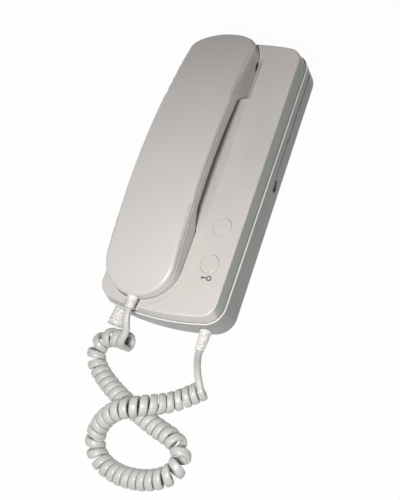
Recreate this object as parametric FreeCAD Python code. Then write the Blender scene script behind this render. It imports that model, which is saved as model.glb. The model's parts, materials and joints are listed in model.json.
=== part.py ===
import FreeCAD, Part
import math
import os

# Wall handset phone for a door-entry line, lying on its back.
# +X is the button side, +Y the ear end, +Z out of the face. Millimetres.
# The origin is the centre of the base's back plane.
# Past is how far a cutting solid runs beyond the face that it opens.

V = FreeCAD.Vector
X_AXIS, Y_AXIS, Z_AXIS = V(1, 0, 0), V(0, 1, 0), V(0, 0, 1)

# Base: plan outline, heights and walls
base_width = 95.0
base_length = 218.0
corner_radius = 14.4
end_radius = 200.0
seam_height = 21.6
seam_fall = 2.2
face_height = 32.0
housing_wall = 2.4
cover_wall = 2.2
seam_step = 0.8
band_inset = 2.4
back_edge_radius = 2.5
face_edge_radius = 1.2
lid_clearance = 0.15
draft_inset = 0.7
past = 1.0

# Handset: plan outline, and the arc that its crown and parting line share
handset_width = 54.4
handset_margin = 4.5
handset_x = -base_width / 2 + handset_margin + handset_width / 2
mouth_margin = 8.7
handset_mouth_y = -base_length / 2 + mouth_margin
ear_overhang = 3.5
handset_ear_y = base_length / 2 + ear_overhang
ear_cup_inset = 10.0
cup_ear_y = handset_ear_y - ear_cup_inset
ledge_z = 29.6
mouth_round = 24.6
ear_round = 16.0
cup_ear_round = 18.0
handset_wall = 2.2
crown_radius = 429.0
crown_y = 4.3
crown_z = 50.1
crown_edge_radius = 2.5
parting_drop = 4.2
parting_lip = 0.3

# Handset underside: cups, their slanted walls and the grip
grip_drop = 5.3
grip_bend = 0.92
ear_cup_bottom = 16.0
ear_cup_length = 38.5
ear_cup_y = cup_ear_y - ear_cup_length
ear_knee = (2.5, 29.0)
grip_ear_run = 10.0
mouth_cup_bottom = 22.0
mouth_cup_length = 46.3
mouth_cup_y = handset_mouth_y + mouth_cup_length
mouth_knee = (4.0, 30.0)
grip_mouth_run = 20.5
cup_corner = 3.0
knee_radius = 5.0

# Cradle in the front cover: pockets, the ramp under the grip and the sloping border
cradle_gap = 0.8
cradle_end_gap = 1.2
cradle_ear_round = 13.0
cup_seat_gap = 0.8
overhang_gap = 1.0
valley_mouth_gap = 8.0
valley_ear_gap = 4.6
valley_from_y = mouth_cup_y + valley_mouth_gap
valley_to_y = ear_cup_y - valley_ear_gap
border_width = 4.7
border_drop = 1.0
ear_border_width = 5.3
ear_border_drop = 4.4
border_spare = 0.1
crease_x = handset_x + handset_width / 2 + cradle_gap + border_width
valley_floor = face_height - border_drop / border_width * (crease_x - handset_x)
boot_notch_gap = 1.0
pad_width = 30.0
pad_length = 4.0
pad_from_cup = 11.5
pad_depth = 0.7
pad_proud = 0.5
sound_slot_count = 5
sound_slot_width = 1.6
sound_slot_length = 22.0
sound_slot_pitch = 4.4

# Buttons and their switches
button_radius = 6.6
button_margin = 17.0
button_x = base_width / 2 - button_margin
door_button_margin = 41.4
door_button_y = -base_length / 2 + door_button_margin
button_pitch = 26.8
call_button_y = door_button_y + button_pitch
button_gap = 0.25
button_proud = 0.3
button_dish = 0.5
button_travel = 1.0
button_cap_thickness = 3.0
button_flange = 1.6
stem_radius = 2.5
switch_size = 7.0
switch_height = 4.6
switch_plunger_radius = 1.7
switch_plunger_height = 1.0
running_clearance = 0.06

# Circuit board
board_side_gap = 11.0
board_right = base_width / 2 - board_side_gap
board_width = 21.5
board_left = board_right - board_width
board_end_gap = 23.0
board_half_length = base_length / 2 - board_end_gap
board_bottom = 12.0
board_thickness = 1.6
board_post_radius = 3.2
board_screw_inset = 5.0
board_screw_y = board_half_length - board_screw_inset
board_screw_x = board_left + 2 * board_screw_inset
transformer_size = (16.0, 18.0, 11.0)
transformer_y = 40.0
transformer_inset = 3.0
capacitor_radius = 4.0
capacitor_height = 11.0
capacitor_pitch = 10.0

# Volume slide in the right wall
slide_y = 1.4
slide_z = 10.0
slide_width = 3.4
slide_height = 3.0
slide_travel = 4.6
slide_slot_gap = 0.4
slide_body_depth = 5.0
slide_plate = 0.8
knob_proud = 0.35
knob_rib = 0.25
groove_height = 1.3
groove_depth = 0.5
groove_z = 13.2
groove_end_gap = 13.0
groove_top_y = base_length / 2 - groove_end_gap

# Hook plunger in the mouth pocket
hook_from_mouth = 30.3
hook_y = handset_mouth_y + hook_from_mouth
hook_radius = 4.0
hook_gap = 0.3
running_gap = 0.3
hook_travel = 4.0
hook_flange_radius = 6.5
hook_flange_thickness = 1.5
hook_pin_radius = 2.0
hook_switch_gap = 1.3
spring_wire = 0.7
spring_radius = 4.6
spring_turns = 5
spring_seat_z = 4.0

# Ringer under the valley
ringer_offset = 3.2
ringer_x = handset_x - ringer_offset
ringer_y = 6.0
ringer_radius = 19.0
ringer_top_gap = 0.5
ringer_depth = 10.5
ringer_magnet_radius = 9.0
cone_rim = 2.0
terminal_size = (24.0, 14.0, 9.0)
terminal_count = 4
terminal_y = -50.0

# Back recess and wall bracket
recess_depth = 4.2
bracket_width = 58.0
bracket_from_end = 58.5
bracket_length = base_length - 2 * bracket_from_end
bracket_side_gap = 2.0
bracket_end_gap = 3.0
recess_half_width = bracket_width / 2 + bracket_side_gap
bracket_thickness = 1.5
bracket_travel = 6.0
bracket_centre_y = bracket_travel / 2
recess_length = bracket_length + bracket_travel + 2 * bracket_end_gap
wall_hole_inset = 8.75
wall_hole_spacing = bracket_length - 2 * wall_hole_inset
wall_slot_radius = 2.1
wall_slot_length = 12.0
cable_hole_radius = 8.0
cable_hole_y = -20.0
bracket_hole_radius = 13.0
hook_tab_x = 22.0
hook_tab_y = 26.0
hook_tab_width = 8.0
hook_tab_reach = 5.0
tab_clearance = 0.3

# Screws
screw_radius = 1.4
screw_head_radius = 2.9
screw_head_height = 2.0
boss_radius = 3.6
sleeve_radius = 4.6
screw_clearance = 0.3
sleeve_top = 10.0
screw_seat = 3.0
screw_bite = 7.0
cross_depth = 1.0
cross_width = 0.8
screw_end_gap = 1.0
boss_side_gap = 10.5
boss_end_gap = 15.5
right_boss_x = base_width / 2 - boss_side_gap
right_boss_y = base_length / 2 - boss_end_gap
left_boss_x = -base_width / 2 + boss_side_gap
left_boss_y = (-31.0, 43.0)

# Capsules, weight and fixings in the handset
receiver_from_end = 15.5
receiver_y = cup_ear_y - receiver_from_end
receiver_radius = 12.0
receiver_height = 9.0
microphone_from_end = 18.3
microphone_y = handset_mouth_y + microphone_from_end
microphone_radius = 5.0
microphone_height = 6.0
gasket_thickness = 1.0
weight_width_share = 0.48
weight_length = 42.0
weight_height = 4.0
handset_screw_inset = (6.6, 7.5)
handset_screw_y = (ear_cup_y + handset_screw_inset[0], mouth_cup_y - handset_screw_inset[1])
handset_screw_bite = 2.8
shell_gap = 0.15
weight_gap = 0.5
earpiece_hole_radius = 1.1
earpiece_ring_radius = 7.0
earpiece_hole_count = 8
microphone_holes = 1

# Cord, its boots and the coil
wire = 4.2
coil_diameter = 13.4
coil_pitch = 5.3
turn_gap = 0.5
pitch_spare = 0.12
step_turns = 0.5
boot_radius = 4.2
boot_tip_radius = 3.1
boot_neck_radius = 3.2
boot_flange_radius = 4.6
boot_flange_thickness = 1.6
boot_ribs = 6
boot_rib_depth = 0.5
handset_boot_z = 32.2
handset_boot_tip = 8.0
boot_wall = 2.3
boot_seat_depth = 0.6
base_boot_side_gap = 15.5
base_boot_x = base_width / 2 - base_boot_side_gap
base_boot_z = 9.0
base_boot_tip = 13.5
line_boot_side_gap = 11.5
line_boot_x = -base_width / 2 + line_boot_side_gap
line_boot_z = 10.0
line_boot_tip = 12.0
line_boot_root = 5.0
line_boot_tip_radius = 6.2

# Axis of the coil as the poles of one quadratic spline, from the handset's end to the base's.
coil_axis = [
    (-19.5, -127.0, 11.0), (-31.0, -125.5, 11.0), (-40.0, -128.5, 10.4), (-44.5, -136.5, 9.2),
    (-41.5, -146.0, 8.0), (-31.5, -154.0, 7.3), (-19.5, -160.5, 7.0), (-6.5, -166.0, 7.0),
    (8.0, -171.0, 7.0), (21.0, -175.0, 7.0), (33.0, -177.5, 7.0), (41.5, -182.5, 7.0),
    (43.5, -191.0, 7.0), (39.5, -199.0, 7.0), (30.0, -205.0, 7.0), (18.0, -208.5, 7.0),
    (4.5, -209.5, 7.0), (-9.0, -206.5, 7.5), (-18.0, -198.5, 9.5), (-18.0, -186.0, 14.5),
    (-7.5, -174.5, 21.0), (5.0, -168.0, 22.0), (15.0, -163.0, 17.5), (22.5, -158.5, 10.5),
    (31.0, -152.5, 7.0), (42.5, -143.5, 7.0),
]
# Both leads leave their boot and reach the coil on a straight run; the handset's bends once more.
lead_straight = 6.6
base_lead_straight = 3.2
handset_lead_points = [(-14.2, -122.5, 27.0)]
base_lead_points = []

parts = {}


def put(name, shape):
    """Keeps a finished piece under its node name."""
    parts[name] = shape


# Plain solids

def box(x0, x1, y0, y1, z0, z1):
    return Part.makeBox(x1 - x0, y1 - y0, z1 - z0, V(x0, y0, z0))


def rod(x, y, z0, z1, radius):
    return Part.makeCylinder(radius, z1 - z0, V(x, y, z0))


def tube(x, y, z0, z1, radius, bore):
    return rod(x, y, z0, z1, radius).cut(rod(x, y, z0 - past, z1 + past, bore))


def rounded_plate(half_width, y0, y1, z0, z1, radius, x=0.0):
    """A plate with its four upright edges rounded."""
    plate = box(x - half_width, x + half_width, y0, y1, z0, z1)
    upright = [e for e in plate.Edges if abs(e.tangentAt(e.FirstParameter).z) > 0.99]
    return plate.makeFillet(radius, upright)


def slot(x, y, length, radius, z0, z1):
    """A slot that runs along Y, end to end."""
    half = length / 2 - radius
    body = box(x - radius, x + radius, y - half, y + half, z0, z1)
    return body.fuse([rod(x, y - half, z0, z1, radius), rod(x, y + half, z0, z1, radius)])


# Base outline

def base_outline(inset, z):
    """Straight sides, bowed ends and round corners, all set in by the same distance."""
    half_w = base_width / 2 - inset
    corner = corner_radius - inset
    bow = end_radius - inset
    bow_y = base_length / 2 - end_radius
    corner_x = half_w - corner
    corner_y = bow_y + math.sqrt((bow - corner) ** 2 - corner_x ** 2)
    ux, uy = corner_x / (bow - corner), (corner_y - bow_y) / (bow - corner)
    meet = (bow * ux, bow_y + bow * uy)
    turn = math.atan2(uy, ux) / 2
    middle = (corner_x + corner * math.cos(turn), corner_y + corner * math.sin(turn))
    side = (half_w, corner_y)
    top = (0.0, bow_y + bow)

    def point(p, sx, sy):
        return V(sx * p[0], sy * p[1], z)

    def arc(a, b, c):
        return Part.Arc(a, b, c).toShape()

    edges = [
        Part.makeLine(point(side, 1, -1), point(side, 1, 1)),
        arc(point(side, 1, 1), point(middle, 1, 1), point(meet, 1, 1)),
        arc(point(meet, 1, 1), point(top, 1, 1), point(meet, -1, 1)),
        arc(point(meet, -1, 1), point(middle, -1, 1), point(side, -1, 1)),
        Part.makeLine(point(side, -1, 1), point(side, -1, -1)),
        arc(point(side, -1, -1), point(middle, -1, -1), point(meet, -1, -1)),
        arc(point(meet, -1, -1), point(top, 1, -1), point(meet, 1, -1)),
        arc(point(meet, 1, -1), point(middle, 1, -1), point(side, 1, -1)),
    ]
    return Part.Wire(edges)


def base_end_y(x, inset=0.0):
    """Where the bowed mouth end lies at a given x."""
    bow = end_radius - inset
    return -(base_length / 2 - end_radius + math.sqrt(bow ** 2 - x ** 2))


def base_prism(inset, z0, z1):
    return Part.Face(base_outline(inset, z0)).extrude(V(0, 0, z1 - z0))


def seam_z(y):
    return seam_height - seam_fall * y / base_length


def below_seam(lift=0.0):
    """Everything under the parting plane between the housing and the cover."""
    far = base_length
    profile = [V(-far, -far, -far), V(-far, far, -far), V(-far, far, seam_z(far) + lift),
               V(-far, -far, seam_z(-far) + lift)]
    return Part.Face(Part.makePolygon(profile + profile[:1])).extrude(V(2 * far, 0, 0))


# Handset outline

def handset_outline(grow, ear_y, ear_depth, z):
    """Parallel sides with two half ellipses for ends, all grown or shrunk by the same distance."""
    half = handset_width / 2 + grow
    left, right = handset_x - half, handset_x + half
    ear_start, mouth_start = ear_y - ear_depth, handset_mouth_y + mouth_round
    edges = [Part.makeLine(V(left, ear_start, z), V(left, mouth_start, z)),
             Part.makeLine(V(right, mouth_start, z), V(right, ear_start, z))]
    for y, depth, way in ((ear_start, ear_depth + grow, 1), (mouth_start, mouth_round + grow, -1)):
        curve = Part.Ellipse(V(handset_x + way * half, y, z), V(handset_x, y + way * depth, z),
                             V(handset_x, y, z))
        edges.append(curve.toShape(0, math.pi))
    return Part.Wire(Part.__sortEdges__(edges))


def handset_prism(grow, ear_y, ear_depth, z0, z1):
    return Part.Face(handset_outline(grow, ear_y, ear_depth, z0)).extrude(V(0, 0, z1 - z0))


def arc_z(y, drop):
    """Height, at y, of the arc that runs below the crown's edge by a drop."""
    return crown_z - crown_radius + math.sqrt((crown_radius - drop) ** 2 - (y - crown_y) ** 2)


def parting_z(y):
    """Height of the line where the handset's two shells meet."""
    return arc_z(y, parting_drop)


def lying_cylinder(radius):
    """A cylinder along X on the crown's far centre, its seam turned to the underside."""
    centre = V(-base_length, crown_y, crown_z - crown_radius)
    cylinder = Part.makeCylinder(radius, 2 * base_length, centre, X_AXIS)
    cylinder.rotate(centre, X_AXIS, 180)
    return cylinder


def under_parting(gap=0.0):
    """The solid below the parting line of the handset's shells."""
    return lying_cylinder(crown_radius - parting_drop - gap)


def rounded_line(points, radii):
    """Edges of a line of straight runs with a tangent arc at each inner point."""
    edges = []
    start = points[0]
    for before, corner, after, radius in zip(points, points[1:], points[2:], radii):
        a = (before - corner).normalize()
        b = (after - corner).normalize()
        half = a.getAngle(b) / 2
        reach = radius / math.tan(half)
        first, last = corner + a * reach, corner + b * reach
        middle = corner + (a + b).normalize() * (radius / math.sin(half) - radius)
        if (first - start).Length > 1e-6:
            edges.append(Part.makeLine(start, first))
        edges.append(Part.Arc(first, middle, last).toShape())
        start = last
    edges.append(Part.makeLine(start, points[-1]))
    return edges


def offset_line(points, lift):
    """A line of (y, z) points, run towards -Y, moved to its upper side by a wall."""
    ways = []
    for (ay, az), (by, bz) in zip(points, points[1:]):
        length = math.hypot(by - ay, bz - az)
        ways.append(((bz - az) / length, (ay - by) / length))
    moved = []
    for i, (y, z) in enumerate(points):
        before, after = ways[max(i - 1, 0)], ways[min(i, len(ways) - 1)]
        scale = lift / (1 + before[0] * after[0] + before[1] * after[1])
        moved.append((y + scale * (before[0] + after[0]), z + scale * (before[1] + after[1])))
    return moved


def handset_underside(lift):
    """A solid above the handset's underside line; lift moves the line inwards by a wall."""
    far = 2 * base_length
    radius = crown_radius - parting_drop - grip_drop
    ear_y, mouth_y = ear_cup_y - grip_ear_run, mouth_cup_y + grip_mouth_run
    ear_angle = math.asin((ear_y - crown_y) / radius)
    mouth_angle = math.asin((mouth_y - crown_y) / radius)
    reach = radius / math.cos((ear_angle - mouth_angle) / 2)
    middle = (ear_angle + mouth_angle) / 2
    apex = (crown_y + reach * math.sin(middle), crown_z - crown_radius + reach * math.cos(middle))
    drop = parting_drop + grip_drop
    line = [(far, ear_cup_bottom), (ear_cup_y, ear_cup_bottom),
            (ear_cup_y - ear_knee[0], ear_knee[1]), (ear_y, arc_z(ear_y, drop)), apex,
            (mouth_y, arc_z(mouth_y, drop)), (mouth_cup_y + mouth_knee[0], mouth_knee[1]),
            (mouth_cup_y, mouth_cup_bottom), (-far, mouth_cup_bottom)]
    points = [V(-base_length, y, z) for y, z in offset_line(line, lift)]
    bend = radius * grip_bend
    radii = [cup_corner, knee_radius, knee_radius, bend, knee_radius, knee_radius, cup_corner]
    edges = rounded_line(points, radii)
    top = [V(-base_length, points[-1].y, far), V(-base_length, points[0].y, far)]
    edges += [Part.makeLine(points[-1], top[0]), Part.makeLine(top[0], top[1]),
              Part.makeLine(top[1], points[0])]
    return Part.Face(Part.Wire(edges)).extrude(V(2 * base_length, 0, 0))


def handset_lower_block(grow, lift):
    """Cups and grip below the crown: the ear end reaches out over the base at a ledge."""
    top = crown_z + past
    cups = handset_prism(grow, cup_ear_y, cup_ear_round, 0, top)
    return cups.fuse(handset_prism(grow, handset_ear_y, ear_round, ledge_z + lift, top))


# The cradle in the cover

def cradle_prism(grow, z0, z1):
    """Plan of the pocket round the handset's cups."""
    ear = cup_ear_y - cradle_gap + cradle_end_gap
    return handset_prism(cradle_gap + grow, ear, cradle_ear_round, z0, z1)


def cradle_space(wall):
    """Pockets, ramp and overhang, grown by a wall for the shape that carries them."""
    far = base_length
    top = face_height + border_drop
    ear_floor = ear_cup_bottom - cup_seat_gap - wall
    mouth_floor = mouth_cup_bottom - cup_seat_gap - wall
    ear = cradle_prism(wall, ear_floor, top)
    ear = ear.common(box(-far, far, valley_to_y - wall, far, ear_floor, top))
    mouth = cradle_prism(wall, mouth_floor, top)
    mouth = mouth.common(box(-far, far, -far, valley_from_y + wall, mouth_floor, top))
    spaces = [mouth, valley_space(wall, top)]
    shelf = ledge_z - overhang_gap - wall
    over = handset_prism(cradle_gap + wall, handset_ear_y, ear_round, shelf, top)
    spaces.append(over.common(box(-far, far, receiver_y, far, shelf, top)))
    return ear.fuse(spaces + borders(wall))


def valley_space(wall, top):
    """The ramp from its crease down to the handset's middle, and the open side beyond."""
    slope = border_drop / border_width
    sink = wall * math.sqrt(1 + slope ** 2)
    points = [V(crease_x, valley_from_y - wall, face_height - sink),
              V(handset_x, valley_from_y - wall, valley_floor - sink),
              V(-base_length, valley_from_y - wall, valley_floor - sink),
              V(-base_length, valley_from_y - wall, top), V(crease_x, valley_from_y - wall, top)]
    length = valley_to_y - valley_from_y + 2 * wall
    return Part.Face(Part.makePolygon(points + points[:1])).extrude(V(0, length, 0))


def borders(wall):
    """The sloping borders of the mouth pocket and, steeper, of the ear pocket's right side."""
    far = base_length
    low, high = 0, 2 * face_height
    pieces = []
    for width, drop, limits in (
            (border_width, border_drop, (-far, far, -far, valley_from_y, low, high)),
            (ear_border_width, ear_border_drop, (handset_x, far, valley_to_y, far, low, high))):
        ear = cup_ear_y - cradle_gap + cradle_end_gap
        sections = [handset_outline(cradle_gap, ear, cradle_ear_round, face_height - drop - wall),
                    handset_outline(cradle_gap + width * (1 + border_spare), ear, cradle_ear_round,
                                    face_height + drop * border_spare - wall)]
        ring = Part.makeLoft(sections, True, True)
        pieces.append(ring.common(box(*limits)))
    return pieces


def sound_slots(z0, z1):
    first = ringer_y - sound_slot_pitch * (sound_slot_count - 1) / 2
    bars = []
    for i in range(sound_slot_count):
        y = first + i * sound_slot_pitch
        bars.append(box(ringer_x - sound_slot_length / 2, ringer_x + sound_slot_length / 2,
                        y - sound_slot_width / 2, y + sound_slot_width / 2, z0, z1))
    return bars


def make_front_cover():
    outer = Part.makeLoft([base_outline(seam_step - draft_inset, ear_cup_bottom),
                           base_outline(band_inset, face_height)], True, True)
    top_edges = [e for e in outer.Edges if e.BoundBox.ZMin > face_height - 0.01]
    outer = outer.makeFillet(face_edge_radius, top_edges)
    outer = outer.cut(below_seam(lid_clearance))
    inner = base_prism(band_inset + cover_wall, ear_cup_bottom, face_height - cover_wall)
    pocket_walls = cradle_space(cover_wall)
    room = base_prism(housing_wall + lid_clearance * 2, 0, face_height - face_edge_radius)
    hanging = pocket_walls.common(room)
    cover = outer.cut(inner).fuse(hanging)
    cover = cover.fuse(outer.common(pocket_walls))
    for x, y in cover_bosses():
        top = face_height - cover_wall / 2 if x > 0 else valley_floor - cover_wall / 2
        cover = cover.fuse(rod(x, y, sleeve_top + lid_clearance, top, boss_radius))
    cover = cover.cut(cradle_space(0))
    holes = [rod(x, y, sleeve_top - past, sleeve_top + screw_bite, screw_radius)
             for x, y in cover_bosses()]
    for y in (call_button_y, door_button_y):
        holes.append(rod(button_x, y, face_height - 2 * cover_wall, face_height + past,
                         button_radius + button_gap))
    holes.append(rod(handset_x, hook_y, 0, face_height, hook_radius + hook_gap))
    holes += sound_slots(valley_floor - 2 * cover_wall, face_height)
    holes.append(pad_block(lid_clearance))
    notch = boot_radius + boot_notch_gap
    holes.append(box(handset_x - notch, handset_x + notch, -base_length, handset_mouth_y + past,
                     handset_boot_z - notch, 2 * face_height))
    return cover.cut(holes)


def cover_bosses():
    """Centres of the four screws that hold the two halves of the base."""
    right = [(right_boss_x, sign * right_boss_y) for sign in (1, -1)]
    return right + [(left_boss_x, y) for y in left_boss_y]


# Rear housing

def hook_slots(z0, z1):
    """Where the bracket's hooks go through the housing, with room for their travel."""
    cuts = []
    for x, y in tab_places():
        cuts.append(box(x - hook_tab_width / 2 - tab_clearance, x + hook_tab_width / 2 + tab_clearance,
                        y - bracket_travel - tab_clearance,
                        y + bracket_thickness + tab_clearance, z0, z1))
    return cuts


def tab_places():
    """Lower corner, along Y, of each hook's post."""
    return [(sx * hook_tab_x, bracket_centre_y + sy * hook_tab_y) for sx in (1, -1) for sy in (1, -1)]


def slide_slot(x0, x1):
    half = slide_width / 2 + slide_slot_gap
    tall = slide_height / 2 + slide_slot_gap
    return box(x0, x1, slide_y - half, slide_y + half + slide_travel,
               slide_z - tall, slide_z + tall)


def board_posts():
    return [(board_screw_x, board_screw_y), (board_screw_x, -board_screw_y), (board_screw_x, 0.0)]


def make_rear_housing():
    shell = base_prism(0, 0, face_height)
    back_edges = [e for e in shell.Edges if e.BoundBox.ZMax < 0.01]
    shell = shell.makeFillet(back_edge_radius, back_edges).common(below_seam())
    inside = base_prism(housing_wall, housing_wall, 2 * face_height)
    roof = recess_depth + housing_wall
    side = recess_half_width + housing_wall
    recess_walls = box(-side, side, -recess_length / 2 - housing_wall,
                       recess_length / 2 + housing_wall, 0, roof)
    inside = inside.cut(recess_walls)
    housing = shell.cut(inside)
    adds = [rod(x, y, housing_wall / 2, sleeve_top, sleeve_radius) for x, y in cover_bosses()]
    adds += [rod(x, y, housing_wall / 2, board_bottom, board_post_radius) for x, y in board_posts()]
    adds.append(tube(handset_x, hook_y, housing_wall / 2, spring_seat_z,
                     spring_radius + 2 * spring_wire, hook_pin_radius + hook_gap))
    housing = housing.fuse(adds)
    recess = rounded_plate(recess_half_width, -recess_length / 2, recess_length / 2,
                           -past, recess_depth, housing_wall)
    cuts = [recess, rod(0, cable_hole_y, 0, roof + past, cable_hole_radius)]
    cuts += hook_slots(0, roof + past)
    for x, y in cover_bosses():
        cuts.append(rod(x, y, -past, sleeve_top + past, screw_radius + screw_clearance))
        cuts.append(rod(x, y, -past, sleeve_top - screw_seat, screw_head_radius + screw_clearance))
    cuts += [rod(x, y, board_bottom - screw_bite, board_bottom + past, screw_radius)
             for x, y in board_posts()]
    half = base_width / 2
    cuts.append(slide_slot(half - 2 * housing_wall, half + past))
    cuts.append(box(half - groove_depth, half + past, slide_y + slide_width, groove_top_y,
                    groove_z - groove_height / 2, groove_z + groove_height / 2))
    cuts += boot_seat(base_boot_x, base_boot_z, base_end_y(base_boot_x), boot_radius)
    cuts += boot_seat(line_boot_x, line_boot_z, base_end_y(line_boot_x), line_boot_root)
    return housing.cut(cuts)


def lengthwise_rod(x, z, y0, y1, radius):
    return Part.makeCylinder(radius, y1 - y0, V(x, y0, z), Y_AXIS)


# Wall bracket, which slides down out of the housing

def make_wall_bracket():
    y0 = bracket_centre_y - bracket_length / 2
    plate = rounded_plate(bracket_width / 2, y0, y0 + bracket_length, 0, bracket_thickness,
                          2 * back_edge_radius)
    lip_z = recess_depth + housing_wall + tab_clearance
    hooks = []
    for x, y in tab_places():
        left, right = x - hook_tab_width / 2, x + hook_tab_width / 2
        hooks.append(box(left, right, y, y + bracket_thickness, 0, lip_z + bracket_thickness))
        hooks.append(box(left, right, y, y + hook_tab_reach, lip_z, lip_z + bracket_thickness))
    plate = plate.fuse(hooks)
    cuts = [rod(0, cable_hole_y, -past, bracket_thickness + past, bracket_hole_radius)]
    for sign in (1, -1):
        cuts.append(slot(0, bracket_centre_y + sign * wall_hole_spacing / 2, wall_slot_length,
                         wall_slot_radius, -past, bracket_thickness + past))
    return plate.cut(cuts)


# Buttons, hook plunger and volume knob

def make_button(y):
    top = face_height + button_proud
    cap_bottom = top - button_cap_thickness
    flange_top = face_height - cover_wall - button_gap
    cap = rod(button_x, y, cap_bottom, top, button_radius)
    rim = [e for e in cap.Edges if e.BoundBox.ZMin > top - 0.01]
    cap = cap.makeFillet(button_dish, rim)
    flange = rod(button_x, y, flange_top - button_flange, flange_top, button_radius + button_flange)
    stem_end = board_top() + switch_height + switch_plunger_height + button_travel + button_gap
    stem = rod(button_x, y, stem_end, flange_top, stem_radius)
    neck = rod(button_x, y, flange_top - button_flange, top - button_dish, button_radius)
    return cap.fuse([flange, neck, stem])


def board_top():
    return board_bottom + board_thickness


def make_switch(y):
    half = switch_size / 2
    base = board_top() + lid_clearance
    body = box(button_x - half, button_x + half, y - half, y + half, base, base + switch_height)
    return body.fuse(rod(button_x, y, base, base + switch_height + switch_plunger_height
                         - lid_clearance, switch_plunger_radius))


def make_hook_plunger():
    top = mouth_cup_bottom - running_gap
    flange_top = mouth_cup_bottom - cup_seat_gap - cover_wall - hook_travel - hook_gap
    plunger = rod(handset_x, hook_y, flange_top, top, hook_radius)
    crown = [e for e in plunger.Edges if e.BoundBox.ZMin > top - 0.01]
    plunger = plunger.makeFillet(hook_radius / 3, crown)
    flange = rod(handset_x, hook_y, flange_top - hook_flange_thickness, flange_top,
                 hook_flange_radius)
    pin = rod(handset_x, hook_y, housing_wall + hook_gap, flange_top, hook_pin_radius)
    return plunger.fuse([flange, pin])


def make_volume_knob():
    outside = base_width / 2
    inside = outside - housing_wall
    half = slide_width / 2
    tall = slide_height / 2
    stem = box(inside - slide_plate, outside + knob_proud, slide_y - half, slide_y + half,
               slide_z - tall, slide_z + tall)
    plate = box(inside - slide_plate - slide_slot_gap, inside - slide_slot_gap,
                slide_y - 2 * half, slide_y + 2 * half, slide_z - 2 * tall, slide_z + 2 * tall)
    rib_pitch = slide_width / 4
    ribs = [box(outside, outside + knob_proud + knob_rib, slide_y + k * rib_pitch - knob_rib / 2,
                slide_y + k * rib_pitch + knob_rib / 2, slide_z - tall, slide_z + tall)
            for k in (-1, 0, 1)]
    return stem.fuse([plate] + ribs)


# Fixed pieces inside the base

def make_board():
    board = box(board_left, board_right, -board_half_length, board_half_length,
                board_bottom, board_top())
    return board.cut([rod(x, y, 0, face_height, screw_radius + lid_clearance)
                      for x, y in board_posts()])


def make_slide_switch():
    inside = base_width / 2 - housing_wall
    right = inside - slide_plate - 2 * slide_slot_gap
    half = slide_width + slide_travel
    return box(right - slide_body_depth, right, slide_y - half, slide_y + half,
               slide_z - slide_height * 1.5, slide_z + slide_height * 1.5)


def make_ringer():
    top = valley_floor - cover_wall - ringer_top_gap
    rim = rod(ringer_x, ringer_y, top - ringer_depth / 3, top, ringer_radius)
    basket = Part.makeCone(ringer_magnet_radius, ringer_radius, ringer_depth / 3,
                           V(ringer_x, ringer_y, top - 2 * ringer_depth / 3))
    magnet = rod(ringer_x, ringer_y, top - ringer_depth, top - 2 * ringer_depth / 3,
                 ringer_magnet_radius)
    hollow = Part.makeCone(ringer_magnet_radius / 2, ringer_radius - cone_rim, ringer_depth / 3,
                           V(ringer_x, ringer_y, top - ringer_depth / 3))
    return rim.fuse([basket, magnet]).cut(hollow)


def make_ringer_cone():
    """The paper cone, a thin skin that lies in the basket's hollow."""
    top = valley_floor - cover_wall - ringer_top_gap
    low = top - ringer_depth / 3
    deep = ringer_depth / 3
    skin = cone_rim / 4
    outer = Part.makeCone(ringer_magnet_radius / 2, ringer_radius - cone_rim, deep,
                          V(ringer_x, ringer_y, low))
    inner = Part.makeCone(ringer_magnet_radius / 2, ringer_radius - cone_rim, deep,
                          V(ringer_x, ringer_y, low + skin))
    return outer.cut(inner)


def make_terminal_block():
    x0, y0, z0 = -terminal_size[0] / 2, terminal_y, recess_depth + housing_wall
    block = box(x0, -x0, y0, y0 + terminal_size[1], z0, z0 + terminal_size[2])
    wells = []
    for x, y in terminal_screw_places():
        wells.append(rod(x, y, z0 + terminal_size[2] - screw_bite, z0 + terminal_size[2] + past,
                         screw_head_radius))
    return block.cut(wells)


def terminal_screw_places():
    step = terminal_size[0] / terminal_count
    return [(-terminal_size[0] / 2 + step * (i + 0.5), terminal_y + terminal_size[1] / 2)
            for i in range(terminal_count)]


def screw(x, y, head_z, length, way):
    """A pan screw with a cross slot. Way is +1 when the shank rises from the head."""
    low = head_z if way > 0 else head_z - screw_head_height
    head = rod(x, y, low, low + screw_head_height, screw_head_radius)
    shank_z = head_z + (screw_head_height if way > 0 else -screw_head_height - length)
    shank = rod(x, y, shank_z, shank_z + length, screw_radius)
    face = head_z if way > 0 else head_z - cross_depth
    bars = []
    for half_x, half_y in ((screw_radius, cross_width / 2), (cross_width / 2, screw_radius)):
        bars.append(box(x - half_x, x + half_x, y - half_y, y + half_y, face, face + cross_depth))
    return head.fuse(shank).cut(bars)


# Cord

def spline_curve(poles):
    """A quadratic spline that starts and ends on its first and last poles."""
    count = len(poles)
    knots = list(range(count - 1))
    mults = [3] + [1] * (count - 3) + [3]
    curve = Part.BSplineCurve()
    curve.buildFromPolesMultsKnots([V(*p) for p in poles], mults, knots, False, 2)
    return curve


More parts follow.
